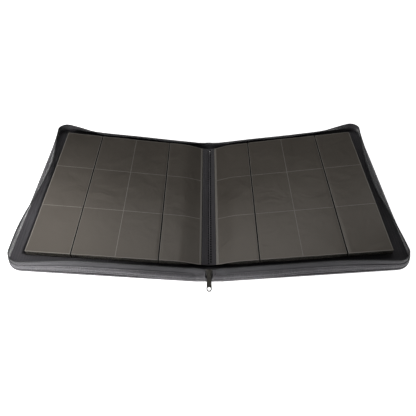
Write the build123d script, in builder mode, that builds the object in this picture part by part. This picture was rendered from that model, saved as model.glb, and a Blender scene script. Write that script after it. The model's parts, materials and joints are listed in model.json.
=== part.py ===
from build123d import *
import math
import os

# A zip-around trading card binder with twenty twelve-pocket leaves, lying open on its spine.
# Millimetres. The origin is the middle of the spine's underside. +Z is up, +Y runs along the spine
# towards its far end, and +X points to the back cover. The front cover lies on the -X side.
# Both covers and both page stacks rise from the spine at rest_tilt.

os.makedirs("parts", exist_ok=True)

FRONT = -1
BACK = 1

# Covers and spine
rest_tilt = 8.0  # degrees above the table, each cover
cover_height = 334.0  # along the spine
cover_reach = 296.0  # hinge line to fore-edge
corner_radius = 25.0
spine_width = 44.0  # between the two hinge lines
hinge_height = 2.0  # hinge lines above the spine's underside
hinge_clearance = 4.0  # cover panel starts this far from its hinge line
spine_edge_clearance = 1.0
skin_thickness = 1.2
skin_rim = 1.0
board_thickness = 2.6
lining_thickness = 0.8
layer_gap = 0.1

# Zip wall, measured up from the cover's hinge plane and in from the cover's edge. Each straight run
# is hinged where the gusset is sewn to the cover: it leans in while the binder is open.
gusset_inset = 0.8
gusset_thickness = 1.6
gusset_top = 12.4
tape_inset = 2.5
tape_thickness = 0.8
tape_bottom = 9.0
tape_top = 19.2
coil_thickness = 1.9
coil_bottom = 19.25
coil_top = 21.1
wall_start = 20.0  # near and far runs begin this far from the hinge line
wall_end_gap = 3.0  # straight runs stop this far from the corner runs
side_run_lean = 60.0  # degrees, near and far runs
fore_run_lean = 50.0  # degrees, fore-edge run

# Pages
leaves_per_side = 10
leaf_pitch = 1.1
page_apex = 15.1  # height where the two top page planes meet above the spine
page_start = 14.0  # inner edge of the pocket area, from the centre line
pocket_width = 69.0
pocket_height = 94.0
columns = 4
rows = 3
sheet_thickness = 0.3
film_thickness = 0.2
film_gap = 0.05
film_inset = 1.0  # film stops this far inside the sheet's edges
opening_gap = 1.2  # slot between two films, where cards go in
opening_columns = (1, 3)  # openings follow these columns, counted from the centre line

# Binding at the centre fold
strip_width = 22.0
strip_bottom = 8.4
strip_thickness = 0.7
stitch_length = 3.5
stitch_pitch = 5.0
stitch_thread = 0.6

# Zip foot, slider and pull. w runs along the zip from its foot, v points out of the binder.
zip_inset = tape_inset + tape_thickness / 2
foot_height = 5.5
foot_lean = 55.0  # degrees the zip's foot leans inwards while the binder is open
tab_width = 10.0
foot_tab_start = -0.2
foot_tab_end = 2.4
far_tab_length = 10.0
chain_start = 2.0  # closed run of chain, from the foot tab into the slider
chain_end = 8.0
chain_width = 5.2
chain_thickness = 1.7
slider_start = 3.0
slider_end = 16.0
slider_tail_width = 7.6
slider_mouth_width = 9.6
slider_tail_length = 5.2  # parallel part at the narrow end
slider_mouth_length = 3.25  # parallel part at the wide end
channel = 2.5  # clear height between the slider's two plates
plate_thickness = 1.3
rail_slot = 1.6
rail_width = 1.0
diamond_width = 1.2
diamond_length = 4.0
bridge_width = 2.4
bridge_start = 5.5
bridge_end = 14.0
bridge_rise = 3.4
bridge_wall = 1.2
bridge_post = 1.5
pivot_w = 11.4
pivot_v = 3.63
pull_drop = 24.0  # degrees below level
pull_length = 31.0
pull_width = 8.6
pull_neck_width = 7.0
pull_thickness = 1.2
pull_window_width = 4.2
pull_window_length = 6.0
pull_bar = 1.3
pull_hole = 5.5
pull_hole_from_tip = 4.6

# Derived
page_width = columns * pocket_width
page_height = rows * pocket_height
skin_bottom = -hinge_height
board_bottom = skin_bottom + skin_thickness + layer_gap
lining_bottom = board_bottom + board_thickness + layer_gap
cover_inner_face = lining_bottom + lining_thickness
gusset_bottom = cover_inner_face + layer_gap
foot_inset = gusset_inset + gusset_thickness
zip_y = -(cover_height / 2 - zip_inset)
wall_strips = (
    ("gusset", gusset_bottom, gusset_top, gusset_inset, gusset_thickness),
    ("tape", tape_bottom, tape_top, tape_inset, tape_thickness),
    ("coil", coil_bottom, coil_top, zip_inset - coil_thickness / 2, coil_thickness),
)


def save(piece, name):
    piece.part.label = name
    export_step(piece.part, f"parts/{name}.step")


def tilted_plane(side, x, z):
    """Plane through (x, 0, z): local x runs out to the fore-edge, local z points to the pages."""
    tilt = math.radians(rest_tilt)
    return Plane(
        origin=(x, 0, z),
        x_dir=(side * math.cos(tilt), 0, math.sin(tilt)),
        z_dir=(-side * math.sin(tilt), 0, math.cos(tilt)),
    )


def cover_outline(inset, mode=Mode.ADD):
    """Rounded cover outline, drawn mirrored about the hinge line and cut by keep_beyond."""
    RectangleRounded(
        2 * (cover_reach - inset),
        cover_height - 2 * inset,
        corner_radius - inset,
        mode=mode,
    )


def keep_beyond(start):
    """Remove what lies nearer to the hinge line than start."""
    with Locations((start - cover_reach, 0)):
        Rectangle(2 * cover_reach, 2 * cover_height, mode=Mode.SUBTRACT)


def corner_band(inset, thickness):
    """A band along the two rounded corners of a cover."""
    cover_outline(inset)
    cover_outline(inset + thickness, mode=Mode.SUBTRACT)
    keep_beyond(cover_reach - corner_radius)
    Rectangle(3 * cover_reach, cover_height - 2 * corner_radius, mode=Mode.SUBTRACT)


def leaning_plane(middle, up, outward, lean):
    """Plane at the foot of a straight wall run: local z climbs the wall, local y points outwards."""
    angle = math.radians(lean)
    climb = up * math.cos(angle) - outward * math.sin(angle)
    face = outward * math.cos(angle) + up * math.sin(angle)
    return Plane(origin=middle, x_dir=face.cross(climb), z_dir=climb)


# ---------------------------------------------------------------- covers
for cover, side in (("front", FRONT), ("back", BACK)):
    hinge_plane = tilted_plane(side, side * spine_width / 2, hinge_height)

    # Textured outer skin, a shallow tray that turns up around the board's edges
    with BuildPart() as skin:
        with BuildSketch(hinge_plane.offset(skin_bottom)):
            cover_outline(0)
            keep_beyond(hinge_clearance)
        extrude(amount=skin_thickness)
        with BuildSketch(hinge_plane.offset(skin_bottom + skin_thickness)):
            cover_outline(0)
            cover_outline(skin_rim, mode=Mode.SUBTRACT)
            keep_beyond(hinge_clearance)
        extrude(amount=cover_inner_face - skin_bottom - skin_thickness)
    save(skin, f"{cover}_cover_skin")

    # Stiff padded board inside the skin
    with BuildPart() as board:
        with BuildSketch(hinge_plane.offset(board_bottom)):
            cover_outline(skin_rim + layer_gap)
            keep_beyond(hinge_clearance)
        extrude(amount=board_thickness)
    save(board, f"{cover}_cover_board")

    # Cloth lining on the page side
    with BuildPart() as lining:
        with BuildSketch(hinge_plane.offset(lining_bottom)):
            cover_outline(skin_rim + layer_gap)
            keep_beyond(hinge_clearance)
        extrude(amount=lining_thickness)
    save(lining, f"{cover}_cover_lining")

    # Zip wall: textured gusset, woven tape lapped inside it, and the coil on the tape's free edge
    along, up = hinge_plane.x_dir, hinge_plane.z_dir
    side_run = (cover_reach - corner_radius - wall_end_gap) - wall_start
    side_middle = wall_start + side_run / 2
    fore_run = cover_height - 2 * corner_radius - 2 * wall_end_gap
    foot_y = cover_height / 2 - foot_inset
    foot = hinge_plane.origin + up * gusset_bottom
    near, far = Vector(0, -1, 0), Vector(0, 1, 0)
    sides_middle = foot + along * side_middle
    fore_middle = foot + along * (cover_reach - foot_inset)
    runs = (
        ("near", sides_middle + near * foot_y, near, side_run_lean, side_run),
        ("far", sides_middle + far * foot_y, far, side_run_lean, side_run),
        ("fore", fore_middle, along, fore_run_lean, fore_run),
    )
    for strip, bottom, top, inset, thickness in wall_strips:
        for run, middle, outward, lean, length in runs:
            with BuildPart() as wall:
                with BuildSketch(leaning_plane(middle, up, outward, lean).offset(bottom - gusset_bottom)):
                    with Locations((0, foot_inset - inset - thickness / 2)):
                        Rectangle(length, thickness)
                extrude(amount=top - bottom)
            save(wall, f"{cover}_{run}_{strip}")
        with BuildPart() as corners:
            with BuildSketch(hinge_plane.offset(bottom)):
                corner_band(inset, thickness)
            extrude(amount=top - bottom)
        save(corners, f"{cover}_corner_{strip}")

# ---------------------------------------------------------------- spine
with BuildPart() as spine_skin:
    with BuildSketch():
        Rectangle(spine_width - 2 * spine_edge_clearance, cover_height)
    extrude(amount=skin_thickness)
save(spine_skin, "spine_skin")

with BuildPart() as spine_board:
    with BuildSketch(Plane.XY.offset(skin_thickness + layer_gap)):
        Rectangle(
            spine_width - 2 * spine_edge_clearance - 2 * skin_rim,
            cover_height - 2 * skin_rim,
        )
    extrude(amount=board_thickness)
save(spine_board, "spine_board")

# ---------------------------------------------------------------- binding at the centre fold
# Woven strip over the gathered page folds, sewn through to the spine
with BuildPart() as binding_strip:
    with BuildSketch(Plane.XY.offset(strip_bottom)):
        Rectangle(strip_width, page_height)
    extrude(amount=strip_thickness)
save(binding_strip, "binding_strip")

# Zigzag sewing: short crosswise stitches, slanting alternately
with BuildPart() as binding_stitch:
    stitch_count = int(page_height / stitch_pitch) - 1
    slant = math.degrees(math.atan2(stitch_pitch / 2, stitch_length))
    for index in range(stitch_count):
        y = (index - (stitch_count - 1) / 2) * stitch_pitch
        turn = slant if index % 2 else -slant
        with BuildSketch(Plane.XY.offset(strip_bottom + strip_thickness + film_gap)):
            with Locations(Location((0, y, 0), (0, 0, turn))):
                SlotOverall(stitch_length, stitch_thread)
        extrude(amount=stitch_thread)
save(binding_stitch, "binding_stitch")

# ---------------------------------------------------------------- pages
# Every leaf is a black backing sheet with clear pocket films welded to both faces. The films stop
# short of each other at the two card openings, between columns 1 and 2 and between columns 3 and 4.
film_edges = [page_start + film_inset]
for column in opening_columns:
    opening = page_start + column * pocket_width
    film_edges += [opening - opening_gap / 2, opening + opening_gap / 2]
film_edges.append(page_start + page_width - film_inset)

for leaf in range(1, 2 * leaves_per_side + 1):
    side = FRONT if leaf <= leaves_per_side else BACK
    leaves_above = leaves_per_side - leaf if side == FRONT else leaf - leaves_per_side - 1
    page_plane = tilted_plane(side, 0, page_apex)
    leaf_middle = -(leaves_above + 0.5) * leaf_pitch

    with BuildPart() as page:
        with BuildSketch(page_plane.offset(leaf_middle - sheet_thickness / 2)):
            with Locations((page_start + page_width / 2, 0)):
                Rectangle(page_width, page_height)
        extrude(amount=sheet_thickness)
        film_offset = sheet_thickness / 2 + film_gap
        for film_bottom in (film_offset, -film_offset - film_thickness):
            with BuildSketch(page_plane.offset(leaf_middle + film_bottom)):
                for low, high in zip(film_edges[0::2], film_edges[1::2]):
                    with Locations(((low + high) / 2, 0)):
                        Rectangle(high - low, page_height - 2 * film_inset)
            extrude(amount=film_thickness)
    save(page, f"page_{leaf:02d}")

# ---------------------------------------------------------------- zip ends, slider and pull
lean = math.radians(foot_lean)
foot_origin = Vector(0, zip_y, foot_height)
along_zip = Vector(0, math.sin(lean), math.cos(lean))
out_of_zip = Vector(0, -math.cos(lean), math.sin(lean))
zip_plane = Plane(origin=foot_origin, x_dir=(1, 0, 0), z_dir=out_of_zip)
zip_side_plane = Plane(origin=foot_origin, x_dir=along_zip, z_dir=(1, 0, 0))

# Cloth tab at the zip's foot, and the short closed run of chain that the slider parks on
with BuildPart() as foot_tab:
    with BuildSketch(zip_plane.offset(-chain_thickness / 2)):
        with Locations((0, (foot_tab_start + foot_tab_end) / 2)):
            Rectangle(tab_width, foot_tab_end - foot_tab_start)
        with Locations((0, (chain_start + chain_end) / 2)):
            Rectangle(chain_width, chain_end - chain_start)
    extrude(amount=chain_thickness)
save(foot_tab, "zip_foot_tab")

# Cloth tab that closes the far end of the zip on the spine
with BuildPart() as far_tab:
    far_plane = Plane(
        origin=(0, -zip_y, foot_height),
        x_dir=(1, 0, 0),
        z_dir=(0, math.cos(lean), math.sin(lean)),
    )
    with BuildSketch(far_plane.offset(-chain_thickness / 2)):
        with Locations((0, -far_tab_length / 2)):
            Rectangle(tab_width, far_tab_length)
    extrude(amount=chain_thickness)
save(far_tab, "zip_far_tab")

# Slider: two plates joined by the diamond at the mouth, with rails that hold the coils in
tail_half, mouth_half = slider_tail_width / 2, slider_mouth_width / 2
tail_end, mouth_start = slider_start + slider_tail_length, slider_end - slider_mouth_length
slider_outline = (
    (tail_half, slider_start),
    (tail_half, tail_end),
    (mouth_half, mouth_start),
    (mouth_half, slider_end),
    (-mouth_half, slider_end),
    (-mouth_half, mouth_start),
    (-tail_half, tail_end),
    (-tail_half, slider_start),
)
rails = (
    (tail_half - rail_width / 2, slider_start + slider_tail_length / 2, slider_tail_length),
    (mouth_half - rail_width / 2, slider_end - slider_mouth_length / 2, slider_mouth_length),
)
with BuildPart() as slider:
    for plate_bottom in (channel / 2, -channel / 2 - plate_thickness):
        with BuildSketch(zip_plane.offset(plate_bottom)):
            with BuildLine():
                Polyline(*slider_outline, close=True)
            make_face()
        extrude(amount=plate_thickness)
    for rail_bottom in (rail_slot / 2, -channel / 2):
        with BuildSketch(zip_plane.offset(rail_bottom)):
            for rail_x, rail_middle, rail_length in rails:
                with Locations((-rail_x, rail_middle), (rail_x, rail_middle)):
                    Rectangle(rail_width, rail_length)
        extrude(amount=(channel - rail_slot) / 2)
    with BuildSketch(zip_plane.offset(-channel / 2)):
        with Locations((0, slider_end - diamond_length / 2)):
            Rectangle(diamond_width, diamond_length)
    extrude(amount=channel)
    # Bridge that holds the pull
    with BuildSketch(zip_side_plane.offset(-bridge_width / 2)):
        bridge_bottom = channel / 2 + plate_thickness
        bridge_length = bridge_end - bridge_start
        with Locations(((bridge_start + bridge_end) / 2, bridge_bottom + bridge_rise / 2)):
            Rectangle(bridge_length, bridge_rise)
            with Locations((0, -bridge_wall / 2)):
                Rectangle(
                    bridge_length - 2 * bridge_post,
                    bridge_rise - bridge_wall,
                    mode=Mode.SUBTRACT,
                )
    extrude(amount=bridge_width)
save(slider, "zip_slider")

# Pull tab: a bar held under the bridge, a window around it and a ring hole at the tip
drop = math.radians(pull_drop)
pull_origin = foot_origin + along_zip * pivot_w + out_of_zip * pivot_v
to_tip = Vector(0, -math.cos(drop), -math.sin(drop))
pull_plane = Plane(origin=pull_origin, x_dir=(1, 0, 0), z_dir=Vector(1, 0, 0).cross(to_tip))
with BuildPart() as pull:
    with BuildSketch(pull_plane.offset(-pull_thickness / 2)):
        with Locations((0, pull_window_length / 2)):
            Rectangle(pull_neck_width, pull_window_length + pull_bar)
        with Locations((0, pull_length - pull_width / 2)):
            Circle(pull_width / 2)
        with BuildLine():
            Polyline(
                (pull_neck_width / 2, pull_window_length),
                (pull_width / 2, pull_length - pull_width / 2),
                (-pull_width / 2, pull_length - pull_width / 2),
                (-pull_neck_width / 2, pull_window_length),
                close=True,
            )
        make_face()
        with Locations((0, (pull_bar + pull_window_length) / 2)):
            Rectangle(pull_window_width, pull_window_length - pull_bar / 2, mode=Mode.SUBTRACT)
        with Locations((0, pull_length - pull_hole_from_tip)):
            Circle(pull_hole / 2, mode=Mode.SUBTRACT)
    extrude(amount=pull_thickness)
save(pull, "zip_pull")
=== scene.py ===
import json
import math

import bpy
import numpy as np
from mathutils import Matrix, Vector


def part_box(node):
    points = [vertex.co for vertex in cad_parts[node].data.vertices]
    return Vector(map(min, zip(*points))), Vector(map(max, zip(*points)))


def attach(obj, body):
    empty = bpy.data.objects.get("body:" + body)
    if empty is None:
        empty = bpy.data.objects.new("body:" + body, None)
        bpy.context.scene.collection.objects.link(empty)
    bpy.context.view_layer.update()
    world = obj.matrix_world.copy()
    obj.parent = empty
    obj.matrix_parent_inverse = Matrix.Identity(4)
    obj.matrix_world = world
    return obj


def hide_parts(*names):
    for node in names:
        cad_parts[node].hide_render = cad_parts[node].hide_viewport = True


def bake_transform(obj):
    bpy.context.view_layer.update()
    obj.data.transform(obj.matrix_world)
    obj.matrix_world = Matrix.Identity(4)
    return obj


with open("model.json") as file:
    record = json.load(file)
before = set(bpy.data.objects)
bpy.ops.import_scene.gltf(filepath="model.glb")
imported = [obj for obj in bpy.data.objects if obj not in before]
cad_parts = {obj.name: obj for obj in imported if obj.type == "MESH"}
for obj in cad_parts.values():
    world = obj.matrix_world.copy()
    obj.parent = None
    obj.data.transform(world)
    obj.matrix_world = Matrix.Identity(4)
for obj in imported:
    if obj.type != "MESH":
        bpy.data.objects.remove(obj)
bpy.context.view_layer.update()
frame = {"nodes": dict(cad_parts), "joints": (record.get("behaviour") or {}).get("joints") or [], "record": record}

# The looks of a zip-around trading card binder. Meshes are built in millimetres in the frame's own axes
# and scaled to metres when the object is made. "u" runs from a hinge line (or the centre line) out to the
# fore-edge, "y" along the spine, "n" up from that plane.

MM = 0.001
FRONT, BACK = -1, 1
COVERS = {"front": FRONT, "back": BACK}

# ---------------------------------------------------------------- places, from the frame
joints = {joint["name"]: joint for joint in frame["joints"]}
couplings = {c["joint"]: c for c in frame["record"]["behaviour"]["couplings"]}


def box_mm(node):
    low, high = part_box(node)
    return np.array(low) / MM, np.array(high) / MM


CLOSING = joints["front_cover_hinge"]["range_deg"][1]
TILT = math.radians(-joints["front_cover_hinge"]["range_deg"][0])
COS_T, SIN_T = math.cos(TILT), math.sin(TILT)
HINGE_X = joints["back_cover_hinge"]["pos_m"][0] / MM
HINGE_Z = joints["back_cover_hinge"]["pos_m"][2] / MM
APEX = joints["page_turn"]["pos_m"][2] / MM
SKIN_HIGH = box_mm("back_cover_skin")[1]
HALF_HEIGHT = SKIN_HIGH[1]
OUTER_FACE = -HINGE_Z
REACH = (SKIN_HIGH[0] - HINGE_X + OUTER_FACE * SIN_T) / COS_T
WALL_END_GAP = 3.0  # the CAD's fore-edge wall stops this far from its corner run
CORNER_R = HALF_HEIGHT - (box_mm("back_fore_gusset")[1][1] + WALL_END_GAP)
PAGE_LOW, PAGE_HIGH = box_mm("page_11")
PAGE_HALF = PAGE_HIGH[1]
PAGE_IN = PAGE_LOW[0] / COS_T
PAGE_OUT = PAGE_HIGH[0] / COS_T
LEAF_PITCH = (box_mm("page_11")[1][2] - box_mm("page_12")[1][2]) / COS_T
LEAVES_PER_SIDE = 10
FOOT_N = 2.9  # the wall's foot above the cover's hinge plane
FOOT_Y = -joints["front_near_wall_lean"]["pos_m"][1] / MM
FOOT_INSET = HALF_HEIGHT - FOOT_Y
LEAN = {
    run: math.radians(abs(couplings[f"front_{run}_wall_lean"]["ratio"]) * CLOSING)
    for run in ("near", "far", "fore")
}
ZIP_FOOT = np.array(joints["zip_foot_lean"]["pos_m"]) / MM
ZIP_ALONG = np.array(joints["zip_slider_travel"]["axis"])
STRIP_LOW, STRIP_HIGH = box_mm("binding_strip")

# ---------------------------------------------------------------- sizes of the soft parts, in millimetres
SKIN = 1.1
LINING = 0.8
INNER_FACE = 2.8  # the cover's inner face above its hinge plane
EDGE_ROUND = 2.2
HINGE_BEND = 3.0  # the skin turns this far to each side of the hinge line
WALL_HEIGHT = 18.2
TAPE_BOTTOM, TAPE_TOP = 6.1, 16.4
COIL_BOTTOM, COIL_TOP = 16.35, 18.2
WALL_START = 20.0  # the straight walls start this far from the hinge line
WALL_SPLIT = 150.0  # and change from an inner to an outer run here
TOOTH_PITCH = 1.5
STITCH_PITCH = 3.4
FOLD_TOP = 8.2  # height of the top leaf at the sewing
FOLD_LEAF = 0.34  # and how much lower each leaf below it is
FOLD_U = -0.9  # leaves and strip run this far past the centre line


def smoothstep(t):
    t = np.clip(t, 0.0, 1.0)
    return t * t * (3 - 2 * t)


def tilted_point(side, u, y, n, x, z):
    """World point of (u, y, n) on a plane that rises outwards from the line through (x, z)."""
    u, y, n = np.broadcast_arrays(np.asarray(u, float), y, n)
    return np.stack([side * (x + u * COS_T - n * SIN_T), y + 0 * u, z + u * SIN_T + n * COS_T], -1)


def from_cover(side, u, y, n):
    """World point of (u, y, n) on a cover: u from its hinge line, n above its hinge plane."""
    return tilted_point(side, u, y, n, HINGE_X, HINGE_Z)


def from_page(side, u, y, n):
    """World point of (u, y, n) on a page plane: u from the centre line, n above the top page plane."""
    return tilted_point(side, u, y, n, 0.0, APEX)


def blend_across(piece):
    """Bake the piece's transform into its mesh; no blend is made between the two bodies across the fold along the
    spine.
    """
    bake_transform(piece)


# ---------------------------------------------------------------- mesh helpers
def make_piece(name, points, faces, materials, face_materials=None):
    """A mesh object from points in millimetres."""
    data = bpy.data.meshes.new(name)
    data.from_pydata((np.asarray(points, float) * MM).tolist(), [], faces)
    for material in materials:
        data.materials.append(material)
    if face_materials is not None:
        data.polygons.foreach_set("material_index", np.asarray(face_materials, np.int32))
    data.validate()
    data.update()
    piece = bpy.data.objects.new(name, data)
    bpy.context.scene.collection.objects.link(piece)
    return piece


def sharpen(piece, degrees=40.0):
    """Smooth shading that keeps edges sharper than the angle given."""
    data = piece.data
    data.polygons.foreach_set("use_smooth", [True] * len(data.polygons))
    data.set_sharp_from_angle(angle=math.radians(degrees))


def grid_faces(rows, columns, first=0, flip=False, wrap=False):
    """Quads of a rows x columns grid of points; wrap joins the last column to the first."""
    faces = []
    for r in range(rows - 1):
        for c in range(columns if wrap else columns - 1):
            low, high = first + r * columns, first + (r + 1) * columns
            d = (c + 1) % columns
            quad = (low + c, low + d, high + d, high + c)
            faces.append(quad[::-1] if flip else quad)
    return faces


def tube_faces(rings, size, flip_caps=False):
    """Quads round a stack of rings with size points each, and a cap on each end."""
    start, end = tuple(range(size)), tuple(range((rings - 1) * size, rings * size))
    caps = [start[::-1], end] if flip_caps else [start, end[::-1]]
    return grid_faces(rings, size, wrap=True) + caps


def rim_loop(grid):
    """Boundary of a grid along its near, fore and far edges."""
    return np.concatenate([grid[:, 0], grid[-1, 1:-1], grid[::-1, -1]])


def closed_sheet(top, bottom, flip):
    """Points and faces of a sheet between two grids of points; the quads round its rim come last."""
    columns, rows = top.shape[:2]
    count = columns * rows
    faces = grid_faces(columns, rows, flip=not flip) + grid_faces(columns, rows, first=count, flip=flip)
    grid = np.arange(count).reshape(columns, rows)
    loop = np.concatenate([rim_loop(grid), grid[0, -2:0:-1]]).tolist()
    for a, b in zip(loop, loop[1:] + loop[:1]):
        quad = (a, b, b + count, a + count)
        faces.append(quad[::-1] if flip else quad)
    return np.concatenate([top.reshape(-1, 3), bottom.reshape(-1, 3)]), faces


def circle(sides):
    """(cosine, sine) of evenly spaced angles."""
    return [(math.cos(a), math.sin(a)) for a in np.radians(np.arange(0, 360, 360 / sides))]


class MeshParts:
    """Collects closed shells into one mesh."""

    def __init__(self):
        self.points, self.faces, self.slots, self.count = [], [], [], 0

    def add(self, points, faces, slot=0):
        points = np.asarray(points, float).reshape(-1, 3)
        self.points.append(points)
        self.faces += [tuple(i + self.count for i in face) for face in faces]
        self.slots += list(slot) if hasattr(slot, "__len__") else [slot] * len(faces)
        self.count += len(points)

    def piece(self, name, materials):
        return make_piece(name, np.concatenate(self.points), self.faces, materials, self.slots)


def sweep_shell(foot, face, climb, profile):
    """Closed shell of a profile of (outward, height) points: one for all frames, or one for each."""
    profile = np.asarray(profile, float)
    profile = np.broadcast_to(profile, (len(foot), *profile.shape[-2:]))
    outward, height = profile[..., 0, None], profile[..., 1, None]
    rings = foot[:, None, :] + face[:, None, :] * outward + climb[:, None, :] * height
    return rings.reshape(-1, 3), tube_faces(*rings.shape[:2])


def rounded_profile(out_low, out_high, low, high, radius):
    """Rounded rectangle in (outward, height), anticlockwise."""
    steps = 2
    points = []
    for cx, cy, start in (
        (out_high - radius, low + radius, -90),
        (out_high - radius, high - radius, 0),
        (out_low + radius, high - radius, 90),
        (out_low + radius, low + radius, 180),
    ):
        for step in range(steps + 1):
            angle = math.radians(start + 90 * step / steps)
            points.append((cx + radius * math.cos(angle), cy + radius * math.sin(angle)))
    return points


# ---------------------------------------------------------------- materials
def node_material(name):
    material = bpy.data.materials.new(name)
    material.use_nodes = True
    return material, material.node_tree, material.node_tree.nodes["Principled BSDF"]


def set_inputs(node, values):
    for name, value in values.items():
        node.inputs[name].default_value = value


def texture(tree, kind, output, **values):
    """Output of a texture on the object's own coordinates, in metres."""
    node = tree.nodes.new(f"ShaderNodeTex{kind}")
    for key, value in values.items():
        if key in node.inputs:
            node.inputs[key].default_value = value
        else:
            setattr(node, key, value)
    place = tree.nodes.new("ShaderNodeTexCoord")
    tree.links.new(place.outputs["Object"], node.inputs["Vector"])
    return node.outputs[output]


def noise(tree, scale, detail, **values):
    return texture(tree, "Noise", "Fac", Scale=scale, Detail=detail, **values)


def math_node(tree, operation, a, b):
    node = tree.nodes.new("ShaderNodeMath")
    node.operation = operation
    for socket, value in zip(node.inputs, (a, b)):
        if isinstance(value, (int, float)):
            socket.default_value = value
        else:
            tree.links.new(value, socket)
    return node.outputs["Value"]


def times(tree, a, b):
    return math_node(tree, "MULTIPLY", a, b)


def plus(tree, a, b, weight):
    """a + weight * b."""
    return math_node(tree, "ADD", a, times(tree, b, weight))


def paint(tree, shader, factor, stops):
    """Base colour from a ramp of (position, colour) stops."""
    node = tree.nodes.new("ShaderNodeValToRGB")
    elements = node.color_ramp.elements
    while len(elements) < len(stops):
        elements.new(0.5)
    for element, (position, color) in zip(elements, stops):
        element.position = position
        element.color = (*color, 1.0)
    tree.links.new(factor, node.inputs["Fac"])
    tree.links.new(node.outputs["Color"], shader.inputs["Base Color"])


def roughen(tree, shader, factor, amount, low):
    """Roughness that varies from low by a texture's amount."""
    rough = math_node(tree, "ADD", times(tree, factor, amount), low)
    tree.links.new(rough, shader.inputs["Roughness"])


def bump(tree, shader, height, strength, distance):
    node = tree.nodes.new("ShaderNodeBump")
    set_inputs(node, {"Strength": strength, "Distance": distance})
    tree.links.new(height, node.inputs["Height"])
    tree.links.new(node.outputs["Normal"], shader.inputs["Normal"])


def leatherette(name, lightness):
    """Pebbled synthetic leather with darker valleys and slightly rubbed high spots."""
    material, tree, shader = node_material(name)
    stops = [(0.25, (0.020, 0.019, 0.021)), (0.6, (0.050, 0.048, 0.052)), (0.9, (0.085, 0.082, 0.088))]
    pebbles = texture(tree, "Voronoi", "Distance", Scale=900.0)
    height = plus(tree, pebbles, noise(tree, 2600.0, 3.0), 0.3)
    tone = plus(tree, times(tree, height, 0.7), noise(tree, 35.0, 4.0), 0.4)
    paint(tree, shader, tone, [(position, tuple(lightness * c for c in color)) for position, color in stops])
    set_inputs(shader, {"Roughness": 0.52, "Specular IOR Level": 0.45})
    bump(tree, shader, height, 0.55, 0.0004)
    return material


def woven(name, dark, light, thread, roughness, sheen=0.3):
    """Plain weave of crossed threads, with slubs and fibre noise. thread is its width in metres."""
    material, tree, shader = node_material(name)
    distortion = {"Distortion": 0.6, "Detail": 1.0, "Detail Scale": 2.0}
    across_x, across_y, across_z = (
        texture(tree, "Wave", "Fac", bands_direction=direction, Scale=0.314 / thread, **distortion)
        for direction in ("X", "Y", "Z")
    )
    crossed = math_node(tree, "MAXIMUM", times(tree, across_x, across_y), times(tree, across_y, across_z))
    height = plus(tree, crossed, noise(tree, 0.9 / thread, 4.0), 0.5)
    tone = plus(tree, times(tree, height, 0.5), noise(tree, 28.0, 3.0), 0.35)
    paint(tree, shader, tone, [(0.15, dark), (0.85, light)])
    set_inputs(shader, {"Roughness": roughness, "Sheen Weight": sheen, "Sheen Roughness": 0.4})
    bump(tree, shader, height, 0.6, thread * 0.5)
    return material


def plastic(name, color, roughness, noise_scale=400.0, strength=0.1, metallic=0.0, gloss=0.5):
    """Moulded plastic, thread or metal with small surface variation."""
    material, tree, shader = node_material(name)
    variation = 0.25
    grain = noise(tree, noise_scale, 4.0)
    dark = tuple(c * (1 - variation) for c in color)
    light = tuple(min(1.0, c * (1 + variation)) for c in color)
    paint(tree, shader, grain, [(0.3, dark), (0.7, light)])
    roughen(tree, shader, grain, 0.15, roughness - 0.07)
    set_inputs(shader, {"Metallic": metallic, "Specular IOR Level": gloss})
    bump(tree, shader, grain, strength, 0.0002)
    return material


def pocket_film():
    """Clear film over a dark sheet: a smoky brown body under a soft gloss, with faint ripples."""
    material, tree, shader = node_material("pocket_film")
    broad = noise(tree, 9.0, 3.0)
    paint(tree, shader, broad, [(0.3, (0.034, 0.029, 0.024)), (0.7, (0.046, 0.040, 0.034))])
    roughen(tree, shader, broad, 0.12, 0.30)
    set_inputs(shader, {"Specular Tint": (1.0, 0.92, 0.82, 1), "Coat Tint": (1.0, 0.94, 0.86, 1)})
    set_inputs(shader, {"Coat Weight": 0.25, "Coat Roughness": 0.25})
    height = plus(tree, noise(tree, 160.0, 3.0), noise(tree, 1500.0, 2.0), 0.12)
    height = plus(tree, height, noise(tree, 26.0, 2.0, Distortion=0.8), 9.0)
    bump(tree, shader, height, 0.18, 0.0006)
    return material


def weld_line():
    """Heat-sealed lines in the film: paler, knurled across."""
    material, tree, shader = node_material("pocket_weld")
    knurl = texture(tree, "Wave", "Fac", Scale=420.0, bands_direction="DIAGONAL")
    paint(tree, shader, knurl, [(0.2, (0.105, 0.096, 0.084)), (0.8, (0.14, 0.129, 0.113))])
    set_inputs(shader, {"Roughness": 0.35})
    bump(tree, shader, knurl, 0.3, 0.0002)
    return material


# The gusset uses the cover's leatherette painted lighter: painted light for the light falling on the zip walls.
LEATHER = leatherette("textured_leatherette", 1.25)
LIT_GUSSET_LEATHER = leatherette("gusset_leatherette_painted_light", 1.55)
# Lining and wall facing are one cloth in two tones: the lining is painted darker as painted shade beside the page
# edges, and the facing is painted lighter as painted light on the wall's inner side.
LINING_CLOTH = woven(
    "lining_cloth", (0.015, 0.0143, 0.0159), (0.062, 0.0586, 0.0655), 0.0006, 0.85, sheen=0.15
)
LIT_FACING_CLOTH = woven("wall_facing_painted_light", (0.023, 0.0217, 0.0243), (0.085, 0.081, 0.090), 0.0006, 0.85)
TAPE_CLOTH = woven("zip_tape", (0.030, 0.029, 0.032), (0.105, 0.102, 0.110), 0.0005, 0.75, sheen=0.4)
BINDING_CLOTH = woven("binding_cloth", (0.008, 0.0075, 0.0085), (0.040, 0.036, 0.043), 0.0006, 0.8)
COIL_PLASTIC = plastic("zip_coil", (0.022, 0.022, 0.023), 0.38)
THREAD = plastic("thread", (0.004, 0.004, 0.004), 0.7, noise_scale=2500.0, strength=0.5)
FILM = pocket_film()
WELD = weld_line()
BACKING = plastic("page_backing", (0.0022, 0.0020, 0.0020), 0.95, noise_scale=600.0, gloss=0.12)
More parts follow.
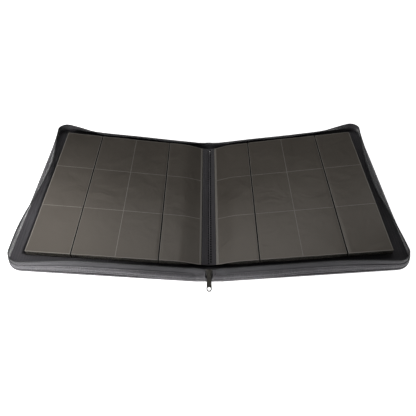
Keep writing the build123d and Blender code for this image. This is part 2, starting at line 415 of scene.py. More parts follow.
GUNMETAL = plastic("gunmetal", (0.120, 0.113, 0.100), 0.24, noise_scale=900.0, strength=0.15, metallic=0.85)
BOARD = plastic("cover_board", (0.34, 0.29, 0.22), 0.85, noise_scale=700.0, strength=0.3)
# Near-black domes at the needle holes: painted shade for the dark inside each hole.
NEEDLE_HOLE_SHADE = plastic("needle_hole_painted_shade", (0.0012, 0.0012, 0.0013), 0.95, noise_scale=2500.0, gloss=0.05)
BINDING_THREAD = plastic("binding_thread", (0.090, 0.085, 0.093), 0.7, noise_scale=2500.0, strength=0.5)
RIVET_METAL = plastic("rivet_metal", (0.62, 0.61, 0.60), 0.28, metallic=0.9)


# ---------------------------------------------------------------- cover skin and lining
def outline_columns(inset):
    """(u, half width) columns of a cover outline, from the spine's centre out to the fore-edge."""
    reach, half, radius = REACH - inset, HALF_HEIGHT - inset, CORNER_R - inset
    hinge_end = 12.0
    bend = np.linspace(-HINGE_X, hinge_end, 15)
    flat = np.linspace(hinge_end, reach - radius, 24)[1:]
    arc = np.radians(np.linspace(0, 90, 11))[1:]
    columns = [(u, half) for u in np.concatenate([bend, flat])]
    centre_u, centre_y = reach - radius, half - radius
    columns += [(centre_u + radius * math.sin(a), centre_y + radius * math.cos(a)) for a in arc]
    return columns


def panel_point(side, u, y, n):
    """Point on the panel that runs level across the spine and rises with the cover beyond the hinge line."""
    u = np.asarray(u, float)
    level = np.stack(np.broadcast_arrays(side * (HINGE_X + u), y, HINGE_Z + n + 0 * u), -1)
    tilted = from_cover(side, u, y, n)
    share = smoothstep((u + HINGE_BEND) / (2 * HINGE_BEND))[..., None]
    return level * (1 - share) + tilted * share


ROWS = 33


def panel_grid(side, inset, n, wave=0.0):
    """Grid of points over a cover and half the spine."""
    outline_u, half_width = np.array(outline_columns(inset)).T
    spread = np.linspace(-1, 1, ROWS)
    u = outline_u[:, None] + 0 * spread[None, :]
    y = half_width[:, None] * spread[None, :]
    ripple = wave * np.sin(u / 17.0) * np.sin(y / 23.0 + u / 60.0)
    return panel_point(side, u, y, n + ripple)


def cover_skin(cover, side):
    """Outer skin: a tray that wraps the board's edges, closed by an inner face."""
    steps = [  # (inset, height) from the outer face round the edge to the inner face
        (EDGE_ROUND, OUTER_FACE),
        (EDGE_ROUND * 0.62, OUTER_FACE + 0.18),
        (EDGE_ROUND * 0.3, OUTER_FACE + EDGE_ROUND * 0.3),
        (EDGE_ROUND * 0.08, OUTER_FACE + EDGE_ROUND * 0.62),
        (0.0, OUTER_FACE + EDGE_ROUND),
        (0.0, INNER_FACE - 1.2),
        (0.15, INNER_FACE - 0.5),
        (0.5, INNER_FACE - 0.1),
        (0.8, INNER_FACE),
        (SKIN, INNER_FACE - 0.25),
        (SKIN, OUTER_FACE + SKIN + 0.6),
        (EDGE_ROUND + 0.2, OUTER_FACE + SKIN),
    ]
    outer, inner = panel_grid(side, *steps[0]), panel_grid(side, *steps[-1])
    columns = outer.shape[0]
    flip = side == BACK
    points = [outer.reshape(-1, 3)]
    faces = grid_faces(columns, ROWS, flip=flip)
    count = columns * ROWS
    grid = np.arange(count).reshape(columns, ROWS)
    loops = [rim_loop(grid)]
    for inset, n in steps[1:-1]:
        ring = rim_loop(panel_grid(side, inset, n))
        points.append(ring)
        loops.append(np.arange(len(ring)) + count)
        count += len(ring)
    points.append(inner.reshape(-1, 3))
    loops.append(rim_loop(grid + count))
    faces += grid_faces(columns, ROWS, first=count, flip=not flip)
    quads = []
    for low, high in zip(loops, loops[1:]):
        low, high = low.tolist(), high.tolist()
        quads += zip(low, high, high[1:], low[1:])
    for row in range(ROWS - 1):
        quads.append((row, row + 1, count + row + 1, count + row))
    faces += [quad[::-1] if flip else quad for quad in quads]
    near_end, far_end = (tuple(int(loop[end]) for loop in loops) for end in (0, -1))
    faces += [near_end, far_end[::-1]] if flip else [near_end[::-1], far_end]
    piece = make_piece(f"{cover}_cover_skin_wrap", np.concatenate(points), faces, [LEATHER])
    sharpen(piece, 60)
    bend_over_hinge(piece)
    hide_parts(f"{cover}_cover_skin", "spine_skin")


def bend_over_hinge(piece):
    blend_across(piece)


def cover_lining(cover, side):
    """Cloth lining over the cover's inner face and half the spine."""
    inset = SKIN + 0.15
    top = panel_grid(side, inset, INNER_FACE, wave=0.12)
    bottom = panel_grid(side, inset, INNER_FACE - LINING)
    points, faces = closed_sheet(top, bottom, side == BACK)
    piece = make_piece(f"{cover}_cover_lining_cloth", points, faces, [LINING_CLOTH])
    sharpen(piece, 60)
    bend_over_hinge(piece)
    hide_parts(f"{cover}_cover_lining")


# ---------------------------------------------------------------- zip wall
ARC_R = CORNER_R - FOOT_INSET
ARC_U = REACH - CORNER_R
ARC_Y = HALF_HEIGHT - CORNER_R
HALF_ARC = ARC_R * math.pi / 4
WAVE = math.radians(2.5)
SPLIT_U = ARC_U + ARC_R * math.sin(math.pi / 4)
SPLIT_Y = ARC_Y + ARC_R * math.sin(math.pi / 4)
FORE_SPLIT = 30.0
# Where each run that reaches a corner goes from standing with the cover to leaning with its hinged wall:
# (from, to), in u for the sides and in y for the fore-edge. The back cover's own entry has its name in front.
TURN = {
    "near_outer": (SPLIT_U, WALL_SPLIT),
    "far_outer": (SPLIT_U, 192.0),
    "fore_near": (-120.0, FORE_SPLIT),
    "back_fore_near": (-156.0, -8.0),
    "fore_far": (SPLIT_Y, 50.0),
}
INNER_BLEND = 32.0  # length over which wall_blend places an inner run's change from the cover to its hinged wall; nothing uses it, and inner runs lean with their hinged wall along their whole length
REST_SHARE = {"near": 1.0, "far": 0.87, "fore": 0.92}  # of the hinged wall's lean, at rest
# Degrees that each corner leans in, by side and by whether it is at the far end
CORNER_TUCK = {(FRONT, False): 4.0, (BACK, False): 7.0, (FRONT, True): 8.0, (BACK, True): 7.0}
TUCK_FADE = 85.0


def corner_path(distance):
    """Foot of the wall at a distance back from the corner's 45 degree point towards the near straight."""
    angle = np.pi / 4 * (1 - np.clip(distance / HALF_ARC, 0, 1))
    run = np.clip(distance - HALF_ARC, 0, None)
    u = ARC_U + ARC_R * np.sin(angle) - run
    y = -ARC_Y - ARC_R * np.cos(angle)
    return u, y, np.sin(angle), -np.cos(angle), run


def fore_path(distance):
    """Foot of the wall from the corner's 45 degree point along the fore-edge."""
    angle = np.pi / 4 * (1 + np.clip(distance / HALF_ARC, 0, 1))
    run = np.clip(distance - HALF_ARC, 0, None)
    u = ARC_U + ARC_R * np.sin(angle)
    y = -ARC_Y - ARC_R * np.cos(angle) + run
    return u, y, np.sin(angle), -np.cos(angle), run


OUTER_LENGTH, INNER_LENGTH = HALF_ARC + ARC_U - WALL_SPLIT, WALL_SPLIT - WALL_START
RUNS = {
    # name: (hinged wall, path round a corner if any, length, whether it is at the far end)
    "near_outer": ("near", corner_path, OUTER_LENGTH, False),
    "near_inner": ("near", None, INNER_LENGTH, False),
    "fore_near": ("fore", fore_path, HALF_ARC + ARC_Y + FORE_SPLIT, False),
    "fore_far": ("fore", fore_path, HALF_ARC + ARC_Y - FORE_SPLIT, True),
    "far_outer": ("far", corner_path, OUTER_LENGTH, True),
    "far_inner": ("far", None, INNER_LENGTH, True),
}


def run_turn(side, run):
    return TURN.get(f"back_{run}", TURN[run]) if side == BACK else TURN[run]


def wall_frames(side, run, distance):
    """Foot, outward face and climbing direction of the zip wall at distances along a run."""
    joint, path, _, mirrored = RUNS[run]
    distance = np.asarray(distance, float)
    flip = -1 if mirrored else 1
    if path is None:
        u = WALL_SPLIT - distance
        y, out_u, out_y = np.full_like(u, -FOOT_Y), np.zeros_like(u), -np.ones_like(u)
        weight, tuck = np.ones_like(u), 0 * u
    else:
        u, y, out_u, out_y, along = path(distance)
        tuck = math.radians(CORNER_TUCK[side, mirrored]) * smoothstep(1 - along / TUCK_FADE)
    y, out_y = y * flip, out_y * flip
    place = y if joint == "fore" else u
    if path is not None:
        first, last = run_turn(side, run)
        weight = smoothstep((place - first) / (last - first))
    ripple = WAVE * np.sin(place / 21.0 + side * 1.3)
    lean = weight * (LEAN[joint] * REST_SHARE[joint] + ripple) + tuck
    cover_u = np.array([side * COS_T, 0, SIN_T])
    cover_n = np.array([-side * SIN_T, 0, COS_T])
    outward = out_u[:, None] * cover_u + out_y[:, None] * np.array([0, 1.0, 0])
    up = np.broadcast_to(cover_n, outward.shape)
    cos_l, sin_l = np.cos(lean)[:, None], np.sin(lean)[:, None]
    foot = from_cover(side, u, y, FOOT_N)
    return foot, outward * cos_l + up * sin_l, up * cos_l - outward * sin_l


def wall_blend(piece, side, run):
    """Bake the run's transform into its mesh. The places where it would pass from the cover (at its corner or at
    the spine) to its own hinged wall are worked out, but nothing uses them.
    """
    joint, path, _, mirrored = RUNS[run]
    places = (WALL_START, WALL_START + INNER_BLEND) if path is None else run_turn(side, run)
    if joint == "fore":
        ends = [from_cover(side, REACH, y, FOOT_N) for y in places]
    else:
        ends = [from_cover(side, u, FOOT_Y if mirrored else -FOOT_Y, FOOT_N) for u in places]
    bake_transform(piece)


def tangents(foot):
    step = np.gradient(foot, axis=0)
    return step / np.linalg.norm(step, axis=1)[:, None]


def stitch_row(parts, foot, face, climb, height, out, slot, length=2.5, thick=0.55):
    """Raised stitches along a row of frames, one per frame, each a small six-sided bar."""
    section = [(x * thick / 2, y * thick / 2) for x, y in circle(6)]
    shares = ((-0.5, 0.45), (-0.34, 1.0), (0.34, 1.0), (0.5, 0.45))
    height, out = np.broadcast_to(height, len(foot)), np.broadcast_to(out, len(foot))
    for p, f, c, s, up, off in zip(foot, face, climb, tangents(foot), height, out):
        centre = p + f * off + c * up
        rings = []
        for along, size in shares:
            middle, sink = centre + s * length * along, f * (size - 1) * thick * 0.4
            rings.append([middle + (f * x + c * y) * size + sink for x, y in section])
        parts.add(np.array(rings), tube_faces(4, 6), slot)


GUSSET_PROFILE = [  # (outward, height): three padded rolls with two stitched channels between them
    (0.0, 0.0), (0.9, 0.05), (1.5, 0.5), (1.75, 1.3), (1.45, 2.0), (1.45, 2.4),
    (1.9, 3.2), (2.0, 4.6), (1.85, 6.0), (1.4, 6.9), (1.4, 7.3), (1.75, 8.0),
    (1.6, 9.0), (1.1, 9.5), (0.3, 9.5), (0.0, 9.0), (0.0, 4.5),
]
GUSSET_SEAMS = ((2.2, 1.5), (7.1, 1.45))  # (height, outward) of its two rows of stitches
GUSSET_INNER_FACES = 3  # this many faces at the end of each ring look inwards
SLUMP_OUT, SLUMP_DOWN = 2.4, 2.7
SLUMP_END, SLUMP_FADE = 165.0, 110.0  # where the slump ends, in x, and how far it takes to fade


def slump_share(foot):
    """How far the unzipped gusset slumps over the cover's edge: most beside the slider."""
    return smoothstep((SLUMP_END - np.abs(foot[:, 0])) / SLUMP_FADE) * (foot[:, 1] < 0)


def slumped(out, height, share):
    """A gusset point (outward, height) moved by its share of the slump."""
    belly = np.sin(np.pi * np.clip((height + 1.0) / 9.0, 0, 1)) * np.clip(out, 0, 1)
    fall = np.clip(1 - height / 7.0, 0, 1) * np.clip(out / 1.5, 0, 1)
    return out + SLUMP_OUT * share * belly, height - SLUMP_DOWN * share * fall


TAPE_PROFILE = rounded_profile(-0.9, -0.1, TAPE_BOTTOM, TAPE_TOP, 0.3)
CORE_PROFILE = rounded_profile(-1.15, 0.15, COIL_BOTTOM + 0.1, COIL_TOP - 0.35, 0.5)
TOOTH_PROFILE = rounded_profile(-1.45, 0.45, COIL_BOTTOM - 0.5, COIL_TOP, 0.7)


def coil_teeth(parts, foot, face, climb):
    """One rounded loop of the coil per frame."""
    thickness = 0.95
    profile = np.array(TOOTH_PROFILE)
    centre = profile.mean(0)
    for p, f, c, s in zip(foot, face, climb, tangents(foot)):
        rings = []
        for along, size in ((-0.5, 0.72), (-0.3, 1.0), (0.3, 1.0), (0.5, 0.72)):
            shape = centre + (profile - centre) * size
            rings.append(p + s * thickness * along + f * shape[:, :1] + c * shape[:, 1:])
        parts.add(np.array(rings), tube_faces(4, len(profile)))


def wall_strip(name, frames, strip, detail_frames):
    """One strip of the wall as an object: gusset, tape or coil. Details are its stitches or teeth."""
    parts = MeshParts()
    if strip == "gusset":
        size = len(GUSSET_PROFILE)
        out, height = np.array(GUSSET_PROFILE).T
        profiles = np.stack(slumped(out[None], height[None], slump_share(frames[0])[:, None]), -1)
        points, faces = sweep_shell(*frames, profiles)
        # The inward faces take the lighter facing cloth: painted light on the lit inner side of the wall.
        ring = [0] * (size - GUSSET_INNER_FACES) + [2] * GUSSET_INNER_FACES
        parts.add(points, faces, ring * (len(faces) // size) + [0] * (len(faces) % size))
        shares = slump_share(detail_frames[0])
        for height, out in GUSSET_SEAMS:
            seam_out, seam_height = slumped(out, height, shares)
            stitch_row(parts, *detail_frames, seam_height, seam_out, 1)
        piece = parts.piece(name, [LIT_GUSSET_LEATHER, THREAD, LIT_FACING_CLOTH])
    elif strip == "tape":
        parts.add(*sweep_shell(*frames, TAPE_PROFILE))
        stitch_row(parts, *detail_frames, 14.6, -0.1, 1, length=2.3, thick=0.35)
        piece = parts.piece(name, [TAPE_CLOTH, THREAD])
    else:
        parts.add(*sweep_shell(*frames, CORE_PROFILE))
        coil_teeth(parts, *detail_frames)
        piece = parts.piece(name, [COIL_PLASTIC])
    sharpen(piece, 50)
    return piece


STRIPS = ("gusset", "tape", "coil")
DETAIL_PITCH = {"gusset": STITCH_PITCH, "tape": STITCH_PITCH, "coil": TOOTH_PITCH}


def zip_walls(cover, side):
    for run, (joint, _, length, mirrored) in RUNS.items():
        body_frames = wall_frames(side, run, np.linspace(0, length, int(length / 3.0)))
        for strip in STRIPS:
            pitch = DETAIL_PITCH[strip]
            details = wall_frames(side, run, np.arange(pitch / 2, length, pitch))
            piece = wall_strip(f"{cover}_{run}_{strip}_soft", body_frames, strip, details)
            wall_blend(piece, side, run)
            nodes = [f"{cover}_{joint}_{strip}"]
            if run != f"{joint}_inner":
                nodes.append(f"{cover}_corner_{strip}")
            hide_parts(*nodes)


# ---------------------------------------------------------------- zip tails at the spine
TAIL_IN_TOP = 1.9
TAIL_IN_FOOT = 3.2
TAIL_ARCH_TOP, TAIL_ARCH_FOOT = 1.6, 0.8
MOUTH = 15.5  # the slider's mouth, along the zip from its foot
# Distances from the spine's middle where the gusset's flap begins and ends, and where it is cut away
FLAP_OUT, FLAP_IN, NOTCH_IN = 15.0, 6.2, 5.3


def wall_end_frames(side, mirrored):
    """Foot, face and climb where the straight wall ends beside the spine."""
    frames = wall_frames(side, "far_inner" if mirrored else "near_inner", [INNER_LENGTH] * 2)
    return tuple(values[0] for values in frames)


def outward_faces(foot, climb, flip):
    """Unit vectors square to the path and the climb that point away from the binder's middle."""
    face = np.cross(np.gradient(foot, axis=0), climb)
    face /= np.linalg.norm(face, axis=1)[:, None]
    return face * np.sign(-face[:, 1:2] * flip)


def tail_frames(side, mirrored, share):
    """Frames of the loose zip tape from the wall (share 0) to the zip's foot at the spine (share 1)."""
    flip = -1 if mirrored else 1
    share = np.asarray(share, float)[:, None]
    foot0, _, climb0 = wall_end_frames(side, mirrored)
    top0 = foot0 + climb0 * WALL_HEIGHT
    foot1 = np.array([side * TAIL_IN_FOOT, ZIP_FOOT[1] - 0.4, ZIP_FOOT[2] - 0.3])
    top1 = ZIP_FOOT + ZIP_ALONG * MOUTH
    top1[0] = side * TAIL_IN_TOP
    if mirrored:
        foot1[1], top1[1] = -foot1[1], -top1[1]
    arch = np.sin(np.pi * share[:, 0])
    foot = foot0 * (1 - share) + foot1 * share
    top = top0 * (1 - share) + top1 * share
    top[:, 2] += TAIL_ARCH_TOP * arch**2
    foot[:, 2] -= TAIL_ARCH_FOOT * arch
    climb = (top - foot) / WALL_HEIGHT
    return foot, outward_faces(foot, climb, flip), climb


def spine_gusset_frames(side, mirrored, share):
    """Frames of the gusset from the wall (share 0) round to the middle of the spine's end (share 1)."""
    flip = -1 if mirrored else 1
    share = np.asarray(share, float)
    u = WALL_START - share * (WALL_START + HINGE_X)
    foot = panel_point(side, u, -FOOT_Y * flip, FOOT_N)
    _, _, climb0 = wall_end_frames(side, mirrored)
    climb1 = ZIP_ALONG * np.array([1, flip, 1])
    ease = smoothstep(share)[:, None]
    climb = climb0 * (1 - ease) + climb1 * ease
    climb /= np.linalg.norm(climb, axis=1)[:, None]
    face = outward_faces(foot, climb, flip)
    from_middle = u + HINGE_X
    flap = np.clip((FLAP_OUT - from_middle) / (FLAP_OUT - FLAP_IN), 0, 1) ** 1.5
    notch = smoothstep((FLAP_IN - from_middle) / (FLAP_IN - NOTCH_IN))
    climb *= (1 + 0.55 * flap - 1.27 * notch)[:, None]
    return foot, face, climb


def zip_tails(cover, side):
    for end, mirrored in (("near", False), ("far", True)):
        for strip in STRIPS:
            gusset = strip == "gusset"
            path, samples, detail_end = (spine_gusset_frames, 60, 0.8) if gusset else (tail_frames, 26, 1.0)
            frames = path(side, mirrored, np.linspace(0, 1, samples))
            count = int(40 / DETAIL_PITCH[strip])
            details = path(side, mirrored, (np.arange(count) + 0.5) / count * detail_end)
            piece = wall_strip(f"{cover}_{end}_tail_{strip}", frames, strip, details)
            blend_across(piece)


# ---------------------------------------------------------------- pages
POCKET_W = (PAGE_OUT - PAGE_IN) / 4
POCKET_H = 2 * PAGE_HALF / 3
MARGIN_OUT = 12.0  # left leaves 2 to 10 turn between here
HEM_IN = 11.2  # film hem beside the binding strip
SHEET_HALF = 0.18  # half thickness of the bare sheet
FILM_HALF = 0.37  # and with film on both faces
DROP_END, DROP_RUN = 52.0, 48.0
PLAIN = ("slot", "back")  # kinds of gap that show the bare sheet


def leaf_drop(depth, u):
    """How far a leaf dips below its own plane as its margin gathers to the sewing."""
    at_fold = FOLD_TOP - FOLD_LEAF * depth
    plane = APEX - (depth + 0.5) * LEAF_PITCH * COS_T
    drop = max(0.0, plane - at_fold) / COS_T
    return drop * smoothstep((DROP_END - u) / DROP_RUN)


def leaf_lines(fine):
    """Grid lines across and along a leaf, with a kind for each gap between them: film, weld or slot."""
    weld, slot_width, hem, edge = 1.1, 2.1, 0.8, 1.4
    cells = 12 if fine else 5
    lines, kinds = [PAGE_IN], []

    def stretch(high, count, kind):
        low = lines[-1]
        for step in range(1, count + 1):
            lines.append(low + (high - low) * step / count)
            kinds.append(kind)

    stretch(PAGE_IN + edge, 1, "weld")
    for column in range(1, 4):
        middle = PAGE_IN + column * POCKET_W
        if column == 2:
            stretch(middle - weld / 2, cells, "film")
            stretch(middle + weld / 2, 1, "weld")
        else:
            stretch(middle - slot_width / 2 - hem, cells, "film")
            stretch(middle - slot_width / 2, 1, "weld")
            stretch(middle + slot_width / 2, 1, "slot")
            stretch(middle + slot_width / 2 + hem, 1, "weld")
    stretch(PAGE_OUT - edge, cells, "film")
    stretch(PAGE_OUT, 1, "weld")
    across = np.array(lines), list(kinds)
    lines[:] = [-PAGE_HALF]
    kinds[:] = []
    stretch(-PAGE_HALF + edge, 1, "weld")
    for row in range(1, 3):
        middle = -PAGE_HALF + row * POCKET_H
        stretch(middle - weld / 2, cells + 2, "film")
        stretch(middle + weld / 2, 1, "weld")
    stretch(PAGE_HALF - edge, cells + 2, "film")
    stretch(PAGE_HALF, 1, "weld")
    return across, (np.array(lines), list(kinds))


def pillow(u, y, leaf):
    """Slack of the film in each pocket: a low crown and soft ripples, pinned at the welds."""
    pu = np.clip((u - PAGE_IN) / POCKET_W % 1.0, 0, 1)
    py = np.clip((y + PAGE_HALF) / POCKET_H % 1.0, 0, 1)
    pinned = np.sqrt(np.clip(np.sin(np.pi * pu), 0, 1) * np.clip(np.sin(np.pi * py), 0, 1))
    column = np.floor((u - PAGE_IN) / POCKET_W)
    row = np.floor((y + PAGE_HALF) / POCKET_H)
    key = leaf * 1.7 + column * 2.3 + row * 3.1
    crossed = np.sin(u / 9.0 + key) * np.sin(y / 14.0 + 1.3 * key)
    ripple = crossed + 0.6 * np.sin((u + y) / 19.0 + 2.1 * key)
    return pinned * (0.07 + 0.07 * ripple)


def sheet_sag(side, u, y, depth):
    """Gentle waves of the whole leaf, livelier along its free edges. Facing leaves nest when one turns."""
    broad = 0.35 * np.sin(u / 47.0 + 1.3 + depth) * np.cos(y / 61.0 + 0.7 * depth + 0.4)
    edge = smoothstep((np.abs(y) - PAGE_HALF + 16) / 16)
    curl = 0.42 * edge * np.sin(u / 13.0 + 1.9 * depth) * np.sin(u / 37.0 + depth)
    return side * (broad + curl) * smoothstep((u - 30) / 40)


def leaf_piece(leaf):
    """One leaf with its pockets. Depth counts down from the leaf that shows on its side."""
    side = FRONT if leaf <= LEAVES_PER_SIDE else BACK
    depth = LEAVES_PER_SIDE - leaf if side == FRONT else leaf - LEAVES_PER_SIDE - 1
    (us, u_kinds), (ys, y_kinds) = leaf_lines(fine=depth < 2)
    own_margin = side == BACK or leaf == 1
    margin = np.linspace(FOLD_U, HEM_IN, 12) if own_margin else np.array([MARGIN_OUT])
    hem_steps = 2
    us = np.concatenate([margin, np.linspace(margin[-1], PAGE_IN, hem_steps + 1)[1:-1], us])
    u_kinds = ["back"] * (len(margin) - 1) + ["weld"] * hem_steps + u_kinds
    u, y = np.meshgrid(us, ys, indexing="ij")
    sag = sheet_sag(side, u, y, depth) * (0.3 if depth else 1.0)
    middle = -(depth + 0.5) * LEAF_PITCH - leaf_drop(depth, u) + sag
    bare = np.zeros((len(us), 1))
    for index, kind in enumerate(u_kinds):
        if kind in PLAIN:
            bare[index : index + 2] = 1.0
    bare[len(margin) - 1] = 0.5
    thick = FILM_HALF - (FILM_HALF - SHEET_HALF) * bare + 0 * y
    crown = pillow(u, y, leaf) * (1 - bare)
    top = from_page(side, u, y, middle + thick + crown * (1.0 if depth == 0 else 0.5))
    bottom = from_page(side, u, y, middle - thick - crown * 0.5)
    points, faces = closed_sheet(top, bottom, side == BACK)
    materials = {"film": 0, "weld": 1, "slot": 2, "back": 2}
    slots = 2 * [max(materials[across], materials[along]) for across in u_kinds for along in y_kinds]
    slots += [materials["back"]] * (len(faces) - len(slots))
    piece = make_piece(f"page_{leaf:02d}_leaf", points, faces, [FILM, WELD, BACKING], slots)
    sharpen(piece, 35)
    blend_across(piece)
    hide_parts(f"page_{leaf:02d}")


def left_margins():
    """Plain margins of left leaves 2 to 10, from the sewing to where each leaf turns."""
    parts = MeshParts()
    ys = np.linspace(-PAGE_HALF, PAGE_HALF, 25)
    us = np.linspace(FOLD_U, MARGIN_OUT, 14)
    u, y = np.meshgrid(us, ys, indexing="ij")
    for leaf in range(2, LEAVES_PER_SIDE + 1):
        depth = LEAVES_PER_SIDE - leaf
        middle = -(depth + 0.5) * LEAF_PITCH - leaf_drop(depth, u)
        top = from_page(FRONT, u, y, middle + SHEET_HALF)
        bottom = from_page(FRONT, u, y, middle - SHEET_HALF)
        parts.add(*closed_sheet(top, bottom, flip=False))
    piece = parts.piece("front_leaf_margins", [BACKING])
    sharpen(piece, 40)
    blend_across(piece)


# ---------------------------------------------------------------- binding strip and stitches
STRIP_THICK = 0.7


def binding_half(side):
    """Half of the woven strip down the fold, lying in the valley between the pages."""
    half = HEM_IN - 0.2
    us = np.concatenate([[FOLD_U], np.linspace(-0.2, half - 0.6, 16), [half - 0.2, half]])
    ys = np.linspace(STRIP_LOW[1], STRIP_HIGH[1], 60)
    u, y = np.meshgrid(us, ys, indexing="ij")
    base = -0.5 * LEAF_PITCH - leaf_drop(0, u) + SHEET_HALF
    pucker = 0.10 * np.sin(y / 2.5 * np.pi) * np.exp(-((u / 2.5) ** 2))
    rounding = 0.35 * smoothstep((u - (half - 0.7)) / 0.7)
    top = from_page(side, u, y, base + STRIP_THICK + pucker - rounding)
    bottom = from_page(side, u, y, base + 0.12)
    points, faces = closed_sheet(top, bottom, side == BACK)
    name = "binding_strip_left" if side == FRONT else "binding_strip_right"
    piece = make_piece(name, points, faces, [BINDING_CLOTH])
    sharpen(piece, 50)
    blend_across(piece)
    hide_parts("binding_strip")


def strip_top(x):
    """Height of the binding strip's face at a distance from the fold."""
    n = -0.5 * LEAF_PITCH - leaf_drop(0, abs(x)) + SHEET_HALF + STRIP_THICK
    return from_page(BACK, abs(x), 0.0, n)[2]


def zigzag_stitches():
    """Zigzag sewing down the fold: short slanting stitches between two staggered rows of needle holes, each hole a
    low dome painted near black as painted shade.
    """
    parts = MeshParts()
    pitch, amplitude, offset, thick, hole = 5.0, 1.9, 1.2, 1.3, 1.45
    stitch = ((0.02, 0.5, 0.5), (0.14, 0.9, 0.05), (0.5, 1.0, -0.12), (0.86, 0.9, 0.05), (0.98, 0.5, 0.5))
    dome = ((-0.3, 1.0), (0.25, 1.0), (0.42, 0.85), (0.48, 0.45))  # (height, share of the hole's radius)
    section, up = circle(8), np.array([0, 0, 1])
    count = int(2 * PAGE_HALF / pitch) * 2 - 2
    for index in range(count):
        y0 = (index - count / 2) * pitch / 2
        swing = amplitude if index % 2 else -amplitude
        x0, x1 = offset + swing, offset - swing
        a, b = np.array([x0, y0, strip_top(x0)]), np.array([x1, y0 + pitch / 2, strip_top(x1)])
        along = (b - a) / np.linalg.norm(b - a)
        across = np.cross(along, up)
        rings = []
        for share, size, sink in stitch:
            centre = a + (b - a) * share - np.array([0, 0, sink])
            rings.append([centre + (across * x + up * z * 0.8) * thick / 2 * size for x, z in section])
        parts.add(np.array(rings), tube_faces(len(stitch), len(section)))
        # A low dome over each needle hole, painted near black as painted shade for the hole.
        rings = [
            [a + np.array([x * hole * size, y * hole * size * 1.15, rise]) for x, y in section]
            for rise, size in dome
        ]
        parts.add(np.array(rings), tube_faces(len(dome), len(section), flip_caps=True), 1)
    piece = parts.piece("binding_zigzag_thread", [BINDING_THREAD, NEEDLE_HOLE_SHADE])
    sharpen(piece, 60)
    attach(piece, "root")
    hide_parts("binding_stitch")


def far_stop():
    """Small bright stop pressed through the far end of the binding strip."""
    x, y = 2.5, 0.94 * STRIP_HIGH[1]
    centre = np.array([x, y, strip_top(x)])
    head = ((-0.4, 1.5), (0.25, 1.5), (0.6, 1.25), (0.8, 0.8), (0.86, 0.35))  # (height, radius)
    section = circle(16)
    rings = [[centre + np.array([c * radius, s * radius, rise]) for c, s in section] for rise, radius in head]
    parts = MeshParts()
    parts.add(np.array(rings), tube_faces(len(head), len(section), flip_caps=True))
    piece = parts.piece("binding_far_stop", [RIVET_METAL])
    sharpen(piece, 50)
    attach(piece, "root")


# ---------------------------------------------------------------- hardware carried over from the frame
def finish_node(node, material, width=0.0):
    """A CAD node that stays: new material, and edges rounded by a width."""
    piece = frame["nodes"][node]
    piece.data.materials.clear()
    piece.data.materials.append(material)
    if width:
        modifier = piece.modifiers.new("round_edges", "BEVEL")
        modifier.width = width * MM
        modifier.segments = 3
        modifier.limit_method = "ANGLE"
        modifier.angle_limit = math.radians(40)


for cover, side in COVERS.items():
    cover_skin(cover, side)
    cover_lining(cover, side)
    zip_walls(cover, side)
    zip_tails(cover, side)
    finish_node(f"{cover}_cover_board", BOARD)
for leaf in range(1, 2 * LEAVES_PER_SIDE + 1):
    leaf_piece(leaf)
left_margins()
binding_half(FRONT)
binding_half(BACK)
zigzag_stitches()
far_stop()
finish_node("spine_board", BOARD)
for part in ("slider", "pull", "foot_tab", "far_tab"):
    finish_node(f"zip_{part}", TAPE_CLOTH if part.endswith("tab") else GUNMETAL, 0.3)


# ---------------------------------------------------------------- stage, light and camera
FLOOR_HALF, FLOOR_Z = 6.0, -0.0006
AMBIENT = 0.135


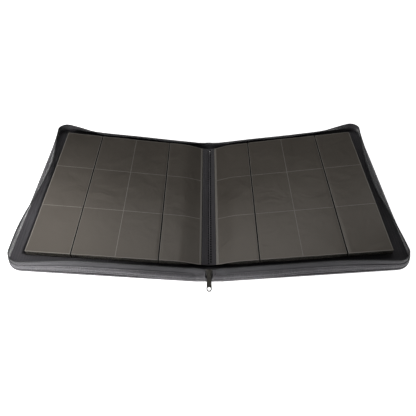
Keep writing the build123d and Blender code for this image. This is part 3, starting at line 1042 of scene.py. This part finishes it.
def stage():
    """Plain pale floor, and a world that is white to the camera but dim as a light."""
    corners = [(x * FLOOR_HALF, y * FLOOR_HALF, FLOOR_Z) for x, y in ((-1, -1), (1, -1), (1, 1), (-1, 1))]
    floor_data = bpy.data.meshes.new("floor")
    floor_data.from_pydata(corners, [], [(0, 1, 2, 3)])
    floor = bpy.data.objects.new("floor", floor_data)
    bpy.context.scene.collection.objects.link(floor)
    material, _, shader = node_material("pale_floor")
    set_inputs(shader, {"Base Color": (0.92, 0.92, 0.92, 1), "Roughness": 0.9})
    set_inputs(shader, {"Emission Color": (1, 1, 1, 1), "Emission Strength": 1.0})
    floor_data.materials.append(material)

    world = bpy.data.worlds.new("studio")
    world.use_nodes = True
    tree = world.node_tree
    background = tree.nodes["Background"]
    background.inputs["Color"].default_value = (1, 1, 1, 1)
    path = tree.nodes.new("ShaderNodeLightPath")
    strength = math_node(tree, "MAXIMUM", path.outputs["Is Camera Ray"], AMBIENT)
    tree.links.new(strength, background.inputs["Strength"])
    bpy.context.scene.world = world


def area_light(name, place, target, size, power, spread=180):
    data = bpy.data.lights.new(name, "AREA")
    data.shape = "RECTANGLE"
    data.size, data.size_y = size
    data.energy = power
    data.spread = math.radians(spread)
    lamp = bpy.data.objects.new(name, data)
    lamp.location = place
    lamp.rotation_euler = (Vector(target) - Vector(place)).to_track_quat("-Z", "Y").to_euler()
    bpy.context.scene.collection.objects.link(lamp)


stage()
area_light("key", (-0.42, -1.05, 0.42), (-0.20, -0.17, 0.02), (0.6, 0.45), 1.2, 58)
area_light("front_soft", (-0.65, -0.95, 0.42), (-0.10, -0.1, 0.03), (0.7, 0.5), 3.3)
area_light("ceiling", (-1.34, 0.62, 1.3), (-1.34, 0.62, 0), (3.4, 0.6), 13.0)
area_light("ceiling_right", (0.85, 0.80, 1.3), (0.85, 0.80, 0), (0.7, 0.24), 1.2)
area_light("left_fill", (0.35, -0.35, 0.75), (-0.335, -0.08, 0.05), (0.12, 0.12), 0.24, 22)

CAMERA_X, CAMERA_Y, CAMERA_HEIGHT_OVER_APEX = -0.00058, -0.4270, 0.5115
ELEVATION, AZIMUTH, ROLL = (math.radians(a) for a in (51.82, 0.14, -0.26))
camera_data = bpy.data.cameras.new("camera")
camera_data.lens = 30.45
camera_data.sensor_width = 36.0
camera_data.clip_start = 0.01
camera = bpy.data.objects.new("camera", camera_data)
bpy.context.scene.collection.objects.link(camera)
level = math.cos(ELEVATION)
back = Vector((math.sin(AZIMUTH) * level, -math.cos(AZIMUTH) * level, math.sin(ELEVATION)))
camera.rotation_mode = "QUATERNION"
camera.rotation_quaternion = (-back).to_track_quat("-Z", "Y") @ Matrix.Rotation(ROLL, 4, "Z").to_quaternion()
camera.location = (CAMERA_X, CAMERA_Y, CAMERA_HEIGHT_OVER_APEX + APEX * MM)
bpy.context.scene.camera = camera
bpy.context.scene.view_settings.view_transform = "Standard"
bpy.context.scene.cycles.use_denoising = True
